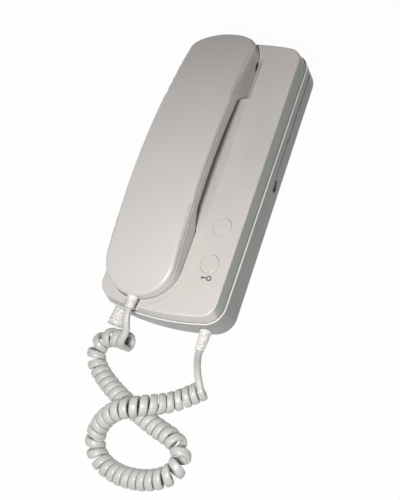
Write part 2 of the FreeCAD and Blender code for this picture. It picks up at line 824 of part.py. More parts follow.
def helix_points():
    """Points and directions of the curled cord, two to each turn, and its number of turns."""
    curve = spline_curve(coil_axis)
    steps = 3000
    first, last = curve.FirstParameter, curve.LastParameter
    centres = [curve.value(first + (last - first) * i / steps) for i in range(steps + 1)]
    radius = (coil_diameter - wire) / 2
    ahead = [(centres[min(i + 1, steps)] - centres[max(i - 1, 0)]).normalize()
             for i in range(steps + 1)]
    spans = [(b - a).Length for a, b in zip(centres, centres[1:])]
    window = steps // 60
    pitches = []
    for i in range(steps + 1):
        low, high = max(i - window // 4, 0), min(i + window // 4, steps)
        bend = ahead[low].getAngle(ahead[high]) / max(sum(spans[low:high]), 1e-6)
        pitches.append(max(coil_pitch, (wire + turn_gap + pitch_spare) / (1 - radius * bend)))
    smooth = []
    for i in range(steps + 1):
        near = pitches[max(i - window, 0):i + window + 1]
        smooth.append(max(sum(near) / len(near), (pitches[i] + max(near)) / 2))
    side = Z_AXIS.cross(ahead[0]).normalize()
    turns = 0.0
    total = sum(2 * s / (a + b) for s, a, b in zip(spans, smooth, smooth[1:]))
    top = last_turn_share(ahead)
    wanted = math.floor(total - top) + top
    points = []
    due = 0.0
    for i in range(steps + 1):
        if i:
            turns += 2 * spans[i - 1] / (smooth[i - 1] + smooth[i]) * wanted / total
            side = (side - ahead[i] * side.dot(ahead[i])).normalize()
        if turns >= due - 1e-9 or i == steps:
            points.append(curl_point(centres[i], ahead[i], side, radius, turns,
                                     spans[min(i, steps - 1)]))
            due += step_turns
    return points, wanted


def last_turn_share(ahead):
    """The part of a turn that ends the helix on top of its axis, for all its axis twists."""
    side = Z_AXIS.cross(ahead[0]).normalize()
    for way in ahead:
        side = (side - way * side.dot(way)).normalize()
    level = Z_AXIS.cross(ahead[-1]).normalize()
    up = ahead[-1].cross(level)
    twist = math.atan2(side.dot(up), side.dot(level))
    return (twist - math.pi / 2) / (2 * math.pi) % 1.0


def curl_point(centre, along, side, radius, turns, span):
    """One point of the helix and its direction."""
    angle = -2 * math.pi * turns
    up = along.cross(side)
    out = side * math.cos(angle) + up * math.sin(angle)
    round_way = side * math.sin(angle) - up * math.cos(angle)
    slope = coil_pitch / (2 * math.pi * radius)
    return centre + out * radius, (round_way + along * slope).normalize()


def biarc(p0, t0, p1, t1):
    """Two tangent arcs from one point and direction to the next."""
    v = p1 - p0
    flat = 2 * (1 - t0.dot(t1))
    pull = v.dot(t0 + t1)
    reach = (math.sqrt(pull ** 2 + flat * v.dot(v)) - pull) / flat
    meet = (p0 + p1 + (t0 - t1) * reach) * 0.5
    arcs = []
    for a, corner, b in ((p0, p0 + t0 * reach, meet), (meet, p1 - t1 * reach, p1)):
        chord = (a + b) * 0.5
        half = (b - a).Length / 2
        height = (corner - chord).Length
        rise = half * (math.sqrt(half ** 2 + height ** 2) - half) / height
        arcs.append(Part.Arc(a, chord + (corner - chord).normalize() * rise, b).toShape())
    return arcs


def sweep(edges, radius, start, way):
    """A round tube along tangent edges."""
    circle = Part.Wire(Part.makeCircle(radius, start, way))
    pipe = Part.Wire(edges).makePipeShell([circle], True, False)
    return pipe


def coil_edges():
    points, turns = helix_points()
    start, down = points[0][0], V(0, 0, -1)
    points[0] = (start, down)
    edges = [Part.makeLine(start - down * wire, start)]
    for (p0, t0), (p1, t1) in zip(points, points[1:]):
        edges += biarc(p0, t0, p1, t1)
    end, way = points[-1]
    edges.append(Part.makeLine(end, end + way * wire))
    return edges, turns


def tube_length(edges):
    return sum(e.Length for e in edges)


def least_gap(edges, diameter):
    """Least distance of the tube's skin to itself, measured on points along it."""
    step = diameter / 8
    points, places = [], []
    done = 0.0
    for e in edges:
        count = max(int(e.Length / step), 2)
        for i in range(count):
            points.append(e.valueAt(e.FirstParameter
                                    + (e.LastParameter - e.FirstParameter) * i / count))
            places.append(done + e.Length * i / count)
        done += e.Length
    cells = {}
    for i, p in enumerate(points):
        key = tuple(int(c // (2 * diameter)) for c in p)
        cells.setdefault(key, []).append(i)
    least = 10 * diameter
    for key, members in cells.items():
        near = [j for dx in (-1, 0, 1) for dy in (-1, 0, 1) for dz in (-1, 0, 1)
                for j in cells.get((key[0] + dx, key[1] + dy, key[2] + dz), [])]
        for i in members:
            for j in near:
                if places[j] - places[i] > 3.5 * diameter:
                    least = min(least, (points[i] - points[j]).Length)
    return least - diameter


def lead_edges(name, points):
    """Straight runs and tangent arcs through hand-chosen points; prints the arcs' radii."""
    radii = []
    for a, b, c in zip(points, points[1:], points[2:]):
        turn = math.pi - (a - b).getAngle(c - b)
        shorter = min((a - b).Length, (c - b).Length)
        radii.append(0.45 * shorter / math.tan(turn / 2))
    print(name, "radii", [round(r, 1) for r in radii])
    return rounded_line(points, radii)


def lead_route(first, straight, middle, last, back):
    """A lead's points: straight out of its boot, and straight into the coil against back."""
    out = first - Y_AXIS * straight
    return [first, out] + [V(*p) for p in middle] + [last + back * lead_straight, last]


def check_tube(name, shape, edges):
    section = math.pi * wire ** 2 / 4
    print(name, "length", round(tube_length(edges), 1), "volume ratio",
          round(shape.Volume / (section * tube_length(edges)), 4), "valid", shape.isValid())


def boot_seat(x, z, wall_y, root_radius):
    """The hole for a boot's neck, with flat seats for its body outside and its flange inside."""
    inside = wall_y + boot_wall
    return [lengthwise_rod(x, z, wall_y - boot_wall, inside + past, boot_neck_radius + lid_clearance),
            lengthwise_rod(x, z, wall_y - boot_wall, wall_y + boot_seat_depth,
                           root_radius + lid_clearance),
            lengthwise_rod(x, z, inside, inside + boot_flange_thickness + lid_clearance,
                           boot_flange_radius + lid_clearance)]


def make_boot(x, z, wall_y, tip, root_radius, tip_radius, bore):
    """A ribbed strain relief that leaves a wall towards -Y, with its flange inside."""
    flange = lengthwise_rod(x, z, wall_y + boot_wall, wall_y + boot_wall + boot_flange_thickness,
                            boot_flange_radius)
    neck = lengthwise_rod(x, z, wall_y, wall_y + boot_wall, boot_neck_radius)
    collar = lengthwise_rod(x, z, wall_y, wall_y + boot_seat_depth - lid_clearance, root_radius)
    body = Part.makeCone(root_radius, tip_radius, tip, V(x, wall_y, z), V(0, -1, 0))
    boot = body.fuse([neck, flange, collar])
    cuts = []
    rib_pitch = tip / (boot_ribs + 1)
    for i in range(boot_ribs):
        y = wall_y - rib_pitch * (i + 1)
        reach = max(root_radius, tip_radius) + past
        radius = root_radius + (tip_radius - root_radius) * (i + 1) / (boot_ribs + 1)
        ring = lengthwise_rod(x, z, y - rib_pitch / 4, y + rib_pitch / 4, reach)
        cuts.append(ring.cut(lengthwise_rod(x, z, y - rib_pitch, y + rib_pitch,
                                            radius - boot_rib_depth)))
    if bore:
        cuts.append(lengthwise_rod(x, z, wall_y - tip - past, wall_y + 3 * boot_wall, wire / 2))
    return boot.cut(cuts)


# Handset

def make_outer_shell():
    top = crown_z + past
    solid = handset_prism(0, handset_ear_y, ear_round, ear_cup_bottom, top)
    solid = solid.common(lying_cylinder(crown_radius))
    rim = [e for e in solid.Edges if e.BoundBox.ZMin > ear_cup_bottom + past]
    rim = [e for e in rim if abs(e.tangentAt(e.FirstParameter).z) < 0.99]
    solid = solid.makeFillet(crown_edge_radius, rim)
    hollow = handset_prism(-handset_wall, handset_ear_y, ear_round, ear_cup_bottom, top)
    shell = solid.cut(hollow.common(lying_cylinder(crown_radius - handset_wall)))
    bosses = []
    for y in handset_screw_y:
        bosses.append(rod(handset_x, y, parting_z(y),
                          arc_z(y, handset_wall / 2), boss_radius))
    shell = shell.fuse(bosses)
    shell = shell.cut(under_parting())
    cuts = [rod(handset_x, y, ear_cup_bottom, parting_z(y) + handset_screw_bite + lid_clearance,
                screw_radius) for y in handset_screw_y]
    cuts += boot_seat(handset_x, handset_boot_z, handset_mouth_y, boot_radius)
    return shell.cut(cuts)


def make_inner_shell():
    solid = handset_lower_block(parting_lip, 0).common(handset_underside(0))
    hollow = handset_lower_block(-handset_wall, handset_wall)
    hollow = hollow.common(handset_underside(handset_wall))
    shell = solid.cut(hollow)
    bosses = []
    for y, floor in zip(handset_screw_y, (ear_cup_bottom, mouth_cup_bottom)):
        bosses.append(rod(handset_x, y, floor + handset_wall / 2, parting_z(y), boss_radius))
    shell = shell.fuse(bosses)
    shell = shell.common(under_parting(shell_gap))
    cuts = []
    for y, floor in zip(handset_screw_y, (ear_cup_bottom, mouth_cup_bottom)):
        cuts.append(rod(handset_x, y, 0, crown_z, screw_radius + screw_clearance))
        cuts.append(rod(handset_x, y, 0, floor + screw_head_height + screw_seat,
                        screw_head_radius + screw_clearance))
    cuts += hole_ring(receiver_y, ear_cup_bottom)
    cuts += hole_ring(microphone_y, mouth_cup_bottom)[:microphone_holes]
    cuts += boot_seat(handset_x, handset_boot_z, handset_mouth_y, boot_radius)
    return shell.cut(cuts)


def hole_ring(y, floor):
    """A centre hole and a ring of holes through the floor of a cup."""
    centres = [(0.0, 0.0)]
    for i in range(earpiece_hole_count):
        angle = 2 * math.pi * i / earpiece_hole_count
        centres.append((earpiece_ring_radius * math.cos(angle), earpiece_ring_radius * math.sin(angle)))
    return [rod(handset_x + dx, y + dy, floor - past, floor + 2 * handset_wall, earpiece_hole_radius)
            for dx, dy in centres]


def make_handset_pieces():
    ear_floor = ear_cup_bottom + handset_wall
    mouth_floor = mouth_cup_bottom + handset_wall
    put("handset_outer_shell", make_outer_shell())
    put("handset_inner_shell", make_inner_shell())
    gasket_top = ear_floor + gasket_thickness
    put("receiver_gasket", tube(handset_x, receiver_y, ear_floor, gasket_top, receiver_radius,
                                earpiece_ring_radius + 2 * earpiece_hole_radius))
    capsule = rod(handset_x, receiver_y, gasket_top, gasket_top + receiver_height, receiver_radius)
    rim = [e for e in capsule.Edges if e.BoundBox.ZMin > gasket_top + receiver_height - 0.01]
    put("receiver_capsule", capsule.makeFillet(receiver_height / 4, rim))
    holder = tube(handset_x, microphone_y, mouth_floor, mouth_floor + microphone_height,
                  microphone_radius + handset_wall, microphone_radius + lid_clearance)
    put("microphone_holder", holder)
    put("microphone_capsule", rod(handset_x, microphone_y, mouth_floor + lid_clearance,
                                  mouth_floor + microphone_height, microphone_radius))
    floor = arc_z(crown_y, parting_drop + grip_drop) + handset_wall + weight_gap
    put("handset_weight", rounded_plate(handset_width * weight_width_share / 2,
                                        crown_y - weight_length / 2, crown_y + weight_length / 2,
                                        floor, floor + weight_height, screw_radius, handset_x))
    for name, y, floor in (("handset_screw_ear", handset_screw_y[0], ear_cup_bottom),
                           ("handset_screw_mouth", handset_screw_y[1], mouth_cup_bottom)):
        length = parting_z(y) - floor - screw_seat - screw_head_height + handset_screw_bite
        put(name, screw(handset_x, y, floor + screw_seat, length, 1))


def make_spring():
    """The plunger's spring, one unbroken tube on biarcs."""
    low = spring_seat_z + spring_wire / 2
    high = (mouth_cup_bottom - cup_seat_gap - cover_wall - hook_travel - hook_gap
            - hook_flange_thickness - spring_wire / 2)
    pitch = (high - low) / spring_turns
    slope = pitch / (2 * math.pi * spring_radius)
    points = []
    for i in range(2 * spring_turns + 1):
        angle = math.pi * i
        c, s = math.cos(angle), math.sin(angle)
        points.append((V(handset_x + spring_radius * c, hook_y + spring_radius * s,
                         low + pitch * i / 2), V(-s, c, slope).normalize()))
    edges = []
    for (p0, t0), (p1, t1) in zip(points, points[1:]):
        edges += biarc(p0, t0, p1, t1)
    return sweep(edges, spring_wire / 2, points[0][0], points[0][1])


def make_cord():
    coil, turns = coil_edges()
    start = coil[0].valueAt(coil[0].FirstParameter)
    end = coil[-1].valueAt(coil[-1].LastParameter)
    shape = sweep(coil, wire / 2, start, V(0, 0, -1))
    put("cord_coil", shape)
    print("coil turns", round(turns, 2), "least gap", round(least_gap(coil, wire), 2))
    check_tube("cord_coil", shape, coil)
    tip = handset_mouth_y - handset_boot_tip
    first = V(handset_x, tip, handset_boot_z)
    route = lead_route(first, lead_straight, handset_lead_points, start, Z_AXIS)
    edges = lead_edges("handset_lead", route)
    lead = sweep(edges, wire / 2, first, Y_AXIS)
    put("handset_lead", lead)
    check_tube("handset_lead", lead, edges)
    tip = base_end_y(base_boot_x) - base_boot_tip
    first = V(base_boot_x, tip, base_boot_z)
    back = (end - coil[-1].Vertexes[0].Point).normalize()
    route = lead_route(first, base_lead_straight, base_lead_points, end, back)
    edges = lead_edges("base_lead", route)
    lead = sweep(edges, wire / 2, first, Y_AXIS)
    put("base_lead", lead)
    check_tube("base_lead", lead, edges)
    put("handset_boot", make_boot(handset_x, handset_boot_z, handset_mouth_y, handset_boot_tip,
                                  boot_radius, boot_tip_radius, False))
    put("base_boot", make_boot(base_boot_x, base_boot_z, base_end_y(base_boot_x), base_boot_tip,
                               boot_radius, boot_tip_radius, False))
    put("line_boot", make_boot(line_boot_x, line_boot_z, base_end_y(line_boot_x), line_boot_tip,
                               line_boot_root, line_boot_tip_radius, True))


def make_base_pieces():
    put("rear_housing", make_rear_housing())
    put("front_cover", make_front_cover())
    put("cradle_pad", pad_block(0))
    put("wall_bracket", make_wall_bracket())
    put("main_board", make_board())
    for name, y in (("call", call_button_y), ("door", door_button_y)):
        put(name + "_button", make_button(y))
        put(name + "_switch", make_switch(y))
    put("hook_plunger", make_hook_plunger())
    put("hook_spring", make_spring())
    put("hook_switch", make_hook_switch())
    put("volume_knob", make_volume_knob())
    put("slide_switch", make_slide_switch())
    put("ringer_speaker", make_ringer())
    put("ringer_cone", make_ringer_cone())
    put("terminal_block", make_terminal_block())
    for i, (x, y) in enumerate(terminal_screw_places()):
        top = recess_depth + housing_wall + terminal_size[2]
        put("terminal_screw_%d" % (i + 1), screw(x, y, top, screw_bite / 2, -1))
    for i, (x, y) in enumerate(board_posts()):
        put("board_screw_%d" % (i + 1), screw(x, y, board_top() + screw_head_height
                                              + lid_clearance,
                                              screw_bite - screw_end_gap, -1))
    for i, (x, y) in enumerate(cover_bosses()):
        head = sleeve_top - screw_seat - screw_head_height
        put("housing_screw_%d" % (i + 1), screw(x, y, head, screw_bite + screw_seat - screw_end_gap,
                                                1))
    left = board_left + transformer_inset
    put("transformer", box(left, left + transformer_size[0], transformer_y,
                           transformer_y + transformer_size[1], board_top() + lid_clearance,
                           board_top() + lid_clearance + transformer_size[2]))
    for i in range(2):
        y = transformer_y - capacitor_pitch * (i + 1)
        put("capacitor_%d" % (i + 1), rod(board_screw_x, y, board_top() + lid_clearance,
                                          board_top() + lid_clearance + capacitor_height,
                                          capacitor_radius))


def pad_block(clearance):
    """The rest pad's block in the ear pocket's floor, or its seat with a clearance."""
    floor = ear_cup_bottom - cup_seat_gap
    y = ear_cup_y + pad_from_cup
    return box(handset_x - pad_width / 2 - clearance, handset_x + pad_width / 2 + clearance,
               y - clearance, y + pad_length + clearance, floor - pad_depth - clearance,
               floor + pad_proud)


def make_hook_switch():
    x0 = handset_x + hook_flange_radius + hook_switch_gap
    half = switch_size / 2
    return box(x0, x0 + 2 * switch_size, hook_y - half, hook_y + half, housing_wall,
               housing_wall + 2 * switch_height)


os.makedirs("parts", exist_ok=True)
make_base_pieces()
make_handset_pieces()
make_cord()
for name, shape in parts.items():
    solids = shape.Solids
    if len(solids) == 1:
        shape = solids[0]
    box_size = shape.BoundBox
    print(name, "solids", len(solids), "valid", shape.isValid(), "volume", round(shape.Volume),
          [round(v, 1) for v in (box_size.XMin, box_size.YMin, box_size.ZMin,
                                 box_size.XMax, box_size.YMax, box_size.ZMax)])
    shape.exportStep("parts/" + name + ".step")
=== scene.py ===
import json
import math

import bpy
import bmesh
import numpy as np
from mathutils import Matrix, Vector, geometry


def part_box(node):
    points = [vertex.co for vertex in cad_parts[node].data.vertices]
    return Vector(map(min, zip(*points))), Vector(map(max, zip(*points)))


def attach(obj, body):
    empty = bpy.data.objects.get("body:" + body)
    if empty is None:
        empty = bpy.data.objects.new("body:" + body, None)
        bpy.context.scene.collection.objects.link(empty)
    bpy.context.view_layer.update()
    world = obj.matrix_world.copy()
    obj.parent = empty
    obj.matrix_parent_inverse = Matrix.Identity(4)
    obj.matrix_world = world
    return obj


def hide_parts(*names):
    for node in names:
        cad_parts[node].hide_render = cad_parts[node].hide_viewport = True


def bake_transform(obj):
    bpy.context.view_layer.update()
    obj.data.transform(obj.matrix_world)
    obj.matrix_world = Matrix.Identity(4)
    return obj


# A wall handset phone that lies on its back on a white floor. +X is the button side, +Y the ear
# end. The scene is in metres; named lengths in millimetres are turned into metres with MM.

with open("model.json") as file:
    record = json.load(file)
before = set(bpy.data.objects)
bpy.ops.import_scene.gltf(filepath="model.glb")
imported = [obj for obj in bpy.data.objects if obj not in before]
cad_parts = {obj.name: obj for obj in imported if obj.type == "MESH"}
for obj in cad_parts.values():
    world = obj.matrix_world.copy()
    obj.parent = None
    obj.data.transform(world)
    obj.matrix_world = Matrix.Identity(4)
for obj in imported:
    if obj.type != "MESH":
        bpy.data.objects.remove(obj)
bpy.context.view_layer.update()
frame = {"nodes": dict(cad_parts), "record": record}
MM = 0.001

# Camera: lens, film width, nearest seen distance and place in millimetres, and its axes in the scene
LENS = 48.9
FILM_WIDE = 36.0
NEAR_CLIP = 10.0
CAMERA_PLACE = (232.6, -187.7, 403.8)
CAMERA_RIGHT = (0.866, 0.320, -0.384)
CAMERA_BACK = (0.475, -0.287, 0.832)

# Sizes that the cord shares with the part, in millimetres
WIRE = 4.2
COIL_DIAMETER = 13.4
COIL_PITCH = 5.3
TURN_GAP = 0.5
PITCH_SPARE = 0.12
LEAD_STRAIGHT = 6.6
BASE_LEAD_STRAIGHT = 3.2
COIL_AXIS = [
    (-19.5, -127.0, 11.0), (-31.0, -125.5, 11.0), (-40.0, -128.5, 10.4), (-44.5, -136.5, 9.2),
    (-41.5, -146.0, 8.0), (-31.5, -154.0, 7.3), (-19.5, -160.5, 7.0), (-6.5, -166.0, 7.0),
    (8.0, -171.0, 7.0), (21.0, -175.0, 7.0), (33.0, -177.5, 7.0), (41.5, -182.5, 7.0),
    (43.5, -191.0, 7.0), (39.5, -199.0, 7.0), (30.0, -205.0, 7.0), (18.0, -208.5, 7.0),
    (4.5, -209.5, 7.0), (-9.0, -206.5, 7.5), (-18.0, -198.5, 9.5), (-18.0, -186.0, 14.5),
    (-7.5, -174.5, 21.0), (5.0, -168.0, 22.0), (15.0, -163.0, 17.5), (22.5, -158.5, 10.5),
    (31.0, -152.5, 7.0), (42.5, -143.5, 7.0),
]
# Poles of each lead's route between its straight ends
HANDSET_LEAD = [(-14.2, -122.5, 27.0)]
BASE_LEAD = []

# Fineness of the cord's lines: segments per pole of the axis and of a lead's route, points of each,
# and how many points the whole cord has more than its parts
AXIS_SEGMENTS = 120
AXIS_POINTS = 3001
LEAD_SEGMENTS = 24
LEAD_POINTS = 28
MORE_POINTS = 200

# Points of the axis, to each side, over which its bend is measured and the pitch is evened
BEND_REACH = 12
PITCH_REACH = 50

# The seam between cover and housing, and the bead that follows it, in millimetres. The seam falls
# towards the ear end, the housing's vertices that are near it are its rim, and the bead's width and
# height are half sizes.
BASE_LENGTH = 218.0
SEAM_HEIGHT = 21.6
SEAM_FALL = 2.2
SEAM_NEAR = 0.05
BEAD_INSET = 0.3
BEAD_WIDE = 0.5
BEAD_HIGH = 0.4
BEAD_POINTS = 700

# The buttons, and the ring in the gap round each, in millimetres. The ring's width and height are
# half sizes.
BUTTON_RADIUS = 6.6
BUTTON_GAP = 0.25
SEAL_WIDE = 0.1
SEAL_HIGH = 0.15
SEAL_SINK = 0.2
SEAL_POINTS = 97
SMALL_TUBE_SIDES = 12

# The flat section that the curls and the leads are drawn with: points per turn, how many points to
# each side of a whole turn are searched for the next curl, and in millimetres the half sizes, the
# gap between curls and the most that a curl and its gap may take
PER_TURN = 28
NEIGHBOUR_REACH = 8
CURL_THIN = 1.55
CURL_GAP = 0.35
CURL_ROOM = 5.7
LEAD_WIDE = 2.3
LEAD_THIN = 1.9
SECTION_POWER = 2.8

# The printed key, in millimetres: its ends and middle line, the bow's radius and ring width, half
# the shank's width and its overlap with the bow, the teeth, the print's thickness and how far it is
# sunk into the face
KEY_LEFT = 27.7
KEY_RIGHT = 35.3
KEY_Y = -77.4
KEY_BOW = 1.8
KEY_RING = 0.75
KEY_SHANK = 0.4
KEY_OVERLAP = 0.1
KEY_TOOTH = 1.0
KEY_SHORT_TOOTH = 0.7
KEY_TOOTH_WIDE = 0.55
KEY_TOOTH_PLACES = (0.3, 1.5)
KEY_THICK = 0.05
KEY_SINK = 0.02
KEY_SIDES = 40

# Where the painted shade on the cover's outer sides sets in: how far a face turns to x, and how far
# out it lies in metres
PAINTED_SHADE_TURNED = (0.45, 0.85)
PAINTED_SHADE_OUT = (0.0435, 0.0445)

# Stage: the floor's half width and drop in metres, its grey, how much of it is seen as plain white,
# and the world's strength as a light and when it is reflected
FLOOR_HALF = 2.5
FLOOR_DROP = 0.0002
FLOOR_GREY = (0.6, 0.6, 0.6, 1)
FLOOR_WHITE = 0.97
WHITE = (1, 1, 1, 1)
WORLD_STRENGTH = 0.05
WORLD_REFLECTED = 0.25

# Lights: place, target and size in metres, power in watts and colour
KEY_LIGHT = ("key", (0.12, -0.26, 0.42), (0, -0.03, 0.03), 0.14, 2.6, (1.0, 0.97, 0.95))
RIM_LIGHT = ("rim", (-0.55, 0.30, 0.16), (0, 0, 0.03), 0.5, 0.8, (1, 1, 1))


# Camera

def make_camera():
    """The photograph's view: place, axes and lens found from the base's corners and sizes."""
    data = bpy.data.cameras.new("camera")
    data.lens = LENS
    data.sensor_width = FILM_WIDE
    data.clip_start = NEAR_CLIP * MM
    camera = bpy.data.objects.new("camera", data)
    bpy.context.scene.collection.objects.link(camera)
    right = Vector(CAMERA_RIGHT).normalized()
    back = Vector(CAMERA_BACK)
    back = (back - right * back.dot(right)).normalized()
    up = back.cross(right)
    place = Matrix((right, up, back)).transposed().to_4x4()
    place.translation = Vector(CAMERA_PLACE) * MM
    camera.matrix_world = place
    bpy.context.scene.camera = camera


# Node helpers

class Nodes:
    """Short names for building one material's nodes."""

    def __init__(self, name):
        self.material = bpy.data.materials.new(name)
        self.material.use_nodes = True
        self.tree = self.material.node_tree
        self.shader = self.tree.nodes["Principled BSDF"]
        coordinates = self.add("ShaderNodeTexCoord")
        self.place = coordinates.outputs["Object"]
        self.facing = coordinates.outputs["Normal"]

    def add(self, kind, **values):
        node = self.tree.nodes.new(kind)
        for key, value in values.items():
            setattr(node, key, value)
        return node

    def link(self, a, b):
        self.tree.links.new(a, b)

    def noise(self, scale, detail=3.0, roughness=0.5, stretch=None):
        node = self.add("ShaderNodeTexNoise")
        node.inputs["Scale"].default_value = scale
        node.inputs["Detail"].default_value = detail
        node.inputs["Roughness"].default_value = roughness
        if stretch:
            mapping = self.add("ShaderNodeMapping")
            mapping.inputs["Scale"].default_value = stretch
            self.link(self.place, mapping.inputs["Vector"])
            self.link(mapping.outputs[0], node.inputs["Vector"])
        else:
            self.link(self.place, node.inputs["Vector"])
        return node.outputs["Fac"]

    def ramp(self, value, stops):
        node = self.add("ShaderNodeValToRGB")
        while len(node.color_ramp.elements) < len(stops):
            node.color_ramp.elements.new(0.5)
        for element, (position, colour) in zip(node.color_ramp.elements, stops):
            element.position = position
            element.color = (*colour, 1.0)
        self.link(value, node.inputs["Fac"])
        return node.outputs["Color"]

    def mix(self, share, a, b, blend="MIX"):
        node = self.add("ShaderNodeMix", data_type="RGBA", blend_type=blend)
        for socket, value in ((node.inputs[0], share), (node.inputs[6], a), (node.inputs[7], b)):
            if hasattr(value, "is_output"):
                self.link(value, socket)
            else:
                socket.default_value = value if isinstance(value, float) else (*value, 1.0)
        return node.outputs[2]

    def span(self, value, low, high, to_low, to_high):
        node = self.add("ShaderNodeMapRange")
        for socket, number in zip(node.inputs[1:5], (low, high, to_low, to_high)):
            socket.default_value = number
        self.link(value, node.inputs["Value"])
        return node.outputs[0]

    def size_of_x(self, vector):
        """A vector's x without its sign."""
        split = self.add("ShaderNodeSeparateXYZ")
        size = self.add("ShaderNodeMath", operation="ABSOLUTE")
        self.link(vector, split.inputs[0])
        self.link(split.outputs["X"], size.inputs[0])
        return size.outputs[0]

    def product(self, a, b):
        node = self.add("ShaderNodeMath", operation="MULTIPLY")
        self.link(a, node.inputs[0])
        self.link(b, node.inputs[1])
        return node.outputs[0]

    def bump(self, height, distance, strength=1.0, under=None):
        node = self.add("ShaderNodeBump")
        node.inputs["Strength"].default_value = strength
        node.inputs["Distance"].default_value = distance
        self.link(height, node.inputs["Height"])
        if under:
            self.link(under, node.inputs["Normal"])
        return node.outputs["Normal"]

    def soft_edges(self, radius):
        node = self.add("ShaderNodeBevel", samples=6)
        node.inputs["Radius"].default_value = radius
        return node.outputs["Normal"]

    def finish(self, colour, roughness, normal=None, **plain):
        for socket, value in (("Base Color", colour), ("Roughness", roughness), ("Normal", normal)):
            if value is None:
                continue
            if hasattr(value, "is_output"):
                self.link(value, self.shader.inputs[socket])
            elif isinstance(value, tuple):
                self.shader.inputs[socket].default_value = (*value, 1.0)
            else:
                self.shader.inputs[socket].default_value = value
        for socket, value in plain.items():
            self.shader.inputs[socket.replace("_", " ")].default_value = value
        return self.material


def tint(colour, factor):
    """A darker or lighter tone of a colour."""
    return tuple(min(c * factor, 1.0) for c in colour)


# Materials: the scales of noise are per metre, and bumps and softened edges are in metres

def moulded_plastic(name, colour, roughness, edge=0.0004, side=None):
    """Aged moulded plastic: cloudy yellowing, fine moulded grain, dust specks, softened edges.

    side is a darker, greener colour painted on the cover's long outer sides as painted shade.
    """
    n = Nodes(name)
    cloud = n.noise(22.0, 4.0, 0.6)
    base = n.ramp(cloud, [(0.3, tint(colour, 0.94)), (0.7, tint(colour, 1.03))])
    warm = (colour[0] * 1.03, colour[1] * 0.985, colour[2] * 0.94)
    base = n.mix(n.span(n.noise(9.0, 2.0), 0.45, 0.75, 0.0, 0.5), base, warm)
    specks = n.span(n.noise(1400.0, 1.0, 0.4), 0.72, 0.76, 0.0, 0.35)
    base = n.mix(specks, base, tint(colour, 0.55))
    # Painted shade: faces that turn to x far out on the cover's sides get the darker, greener side
    # colour
    if side:
        steep = n.span(n.size_of_x(n.facing), *PAINTED_SHADE_TURNED, 0.0, 1.0)
        outer = n.span(n.size_of_x(n.place), *PAINTED_SHADE_OUT, 0.0, 1.0)
        base = n.mix(n.product(steep, outer), base, side)
    rough = n.span(n.noise(160.0, 5.0, 0.65), 0.3, 0.7, roughness - 0.02, roughness + 0.08)
    normal = n.bump(n.noise(2600.0, 2.0), 0.00001, 0.5, n.soft_edges(edge))
    return n.finish(base, rough, normal, Specular_IOR_Level=0.5)


def polished_plastic(name, colour, roughness):
    """The handset's plastic: glossier, faintly clouded, with a few dull handling marks."""
    n = Nodes(name)
    base = n.ramp(n.noise(14.0, 3.0, 0.5), [(0.3, tint(colour, 0.97)), (0.7, tint(colour, 1.02))])
    specks = n.span(n.noise(1400.0, 1.0, 0.4), 0.78, 0.82, 0.0, 0.15)
    base = n.mix(specks, base, tint(colour, 0.6))
    rough = n.span(n.noise(40.0, 3.0, 0.5), 0.35, 0.8, roughness, roughness + 0.06)
    normal = n.bump(n.noise(1800.0, 2.0), 0.000003, 0.4, n.soft_edges(0.0007))
    return n.finish(base, rough, normal, Specular_IOR_Level=0.5)


def vinyl(name, colour):
    """Semi-gloss cord jacket with faint scuffs."""
    n = Nodes(name)
    base = n.ramp(n.noise(60.0, 4.0), [(0.3, tint(colour, 0.93)), (0.7, tint(colour, 1.03))])
    scuffs = n.span(n.noise(700.0, 3.0, 0.7), 0.62, 0.75, 0.0, 0.3)
    base = n.mix(scuffs, base, tint(colour, 0.75))
    rough = n.span(n.noise(300.0, 4.0), 0.3, 0.7, 0.3, 0.42)
    normal = n.bump(n.noise(1500.0, 3.0), 0.00002, 0.4)
    return n.finish(base, rough, normal, Specular_IOR_Level=0.5)


def clear_vinyl(name, colour):
    """Cloudy clear moulding, mottled by small bubbles and grime."""
    n = Nodes(name)
    mottle = n.noise(900.0, 4.0, 0.75)
    base = n.ramp(mottle, [(0.36, tint(colour, 0.6)), (0.5, colour), (0.66, tint(colour, 1.2))])
    rough = n.span(mottle, 0.3, 0.7, 0.2, 0.5)
    normal = n.bump(n.noise(1000.0, 3.0, 0.7), 0.0002, 0.6)
    return n.finish(base, rough, normal, Transmission_Weight=0.1, IOR=1.45)


def dull_plastic(name, colour, roughness=0.55):
    """Matt plastic, also for foam."""
    n = Nodes(name)
    base = n.ramp(n.noise(80.0, 4.0), [(0.3, tint(colour, 0.85)), (0.7, tint(colour, 1.1))])
    rough = n.span(n.noise(400.0, 3.0), 0.3, 0.7, roughness - 0.08, roughness + 0.08)
    normal = n.bump(n.noise(1800.0, 2.0), 0.00002, 0.5, n.soft_edges(0.0002))
    return n.finish(base, rough, normal)


def plated_steel(name, colour):
    """Bare or plated metal with dull patches."""
    n = Nodes(name)
    patches = n.noise(120.0, 5.0, 0.65)
    base = n.ramp(patches, [(0.3, tint(colour, 0.8)), (0.7, tint(colour, 1.1))])
    rough = n.span(n.noise(500.0, 4.0, 0.6), 0.3, 0.7, 0.28, 0.48)
    normal = n.bump(n.noise(900.0, 3.0, 0.6), 0.00002, 0.4, n.soft_edges(0.0002))
    return n.finish(base, rough, normal, Metallic=1.0)


def board_laminate(name, colour):
    """A circuit board's lacquer over its weave."""
    n = Nodes(name)
    weave = n.noise(900.0, 2.0, 0.5, (1.0, 0.2, 1.0))
    base = n.ramp(weave, [(0.35, tint(colour, 0.8)), (0.65, tint(colour, 1.25))])
    rough = n.span(n.noise(300.0, 3.0), 0.3, 0.7, 0.3, 0.45)
    normal = n.bump(weave, 0.00003, 0.5)
    return n.finish(base, rough, normal)


def pressed_paper(name, colour):
    """The ringer cone's fibrous paper."""
    n = Nodes(name)
    fibres = n.noise(1200.0, 6.0, 0.8)
    base = n.ramp(fibres, [(0.3, tint(colour, 0.6)), (0.7, tint(colour, 1.5))])
    normal = n.bump(fibres, 0.0001, 0.7)
    return n.finish(base, 0.85, normal)


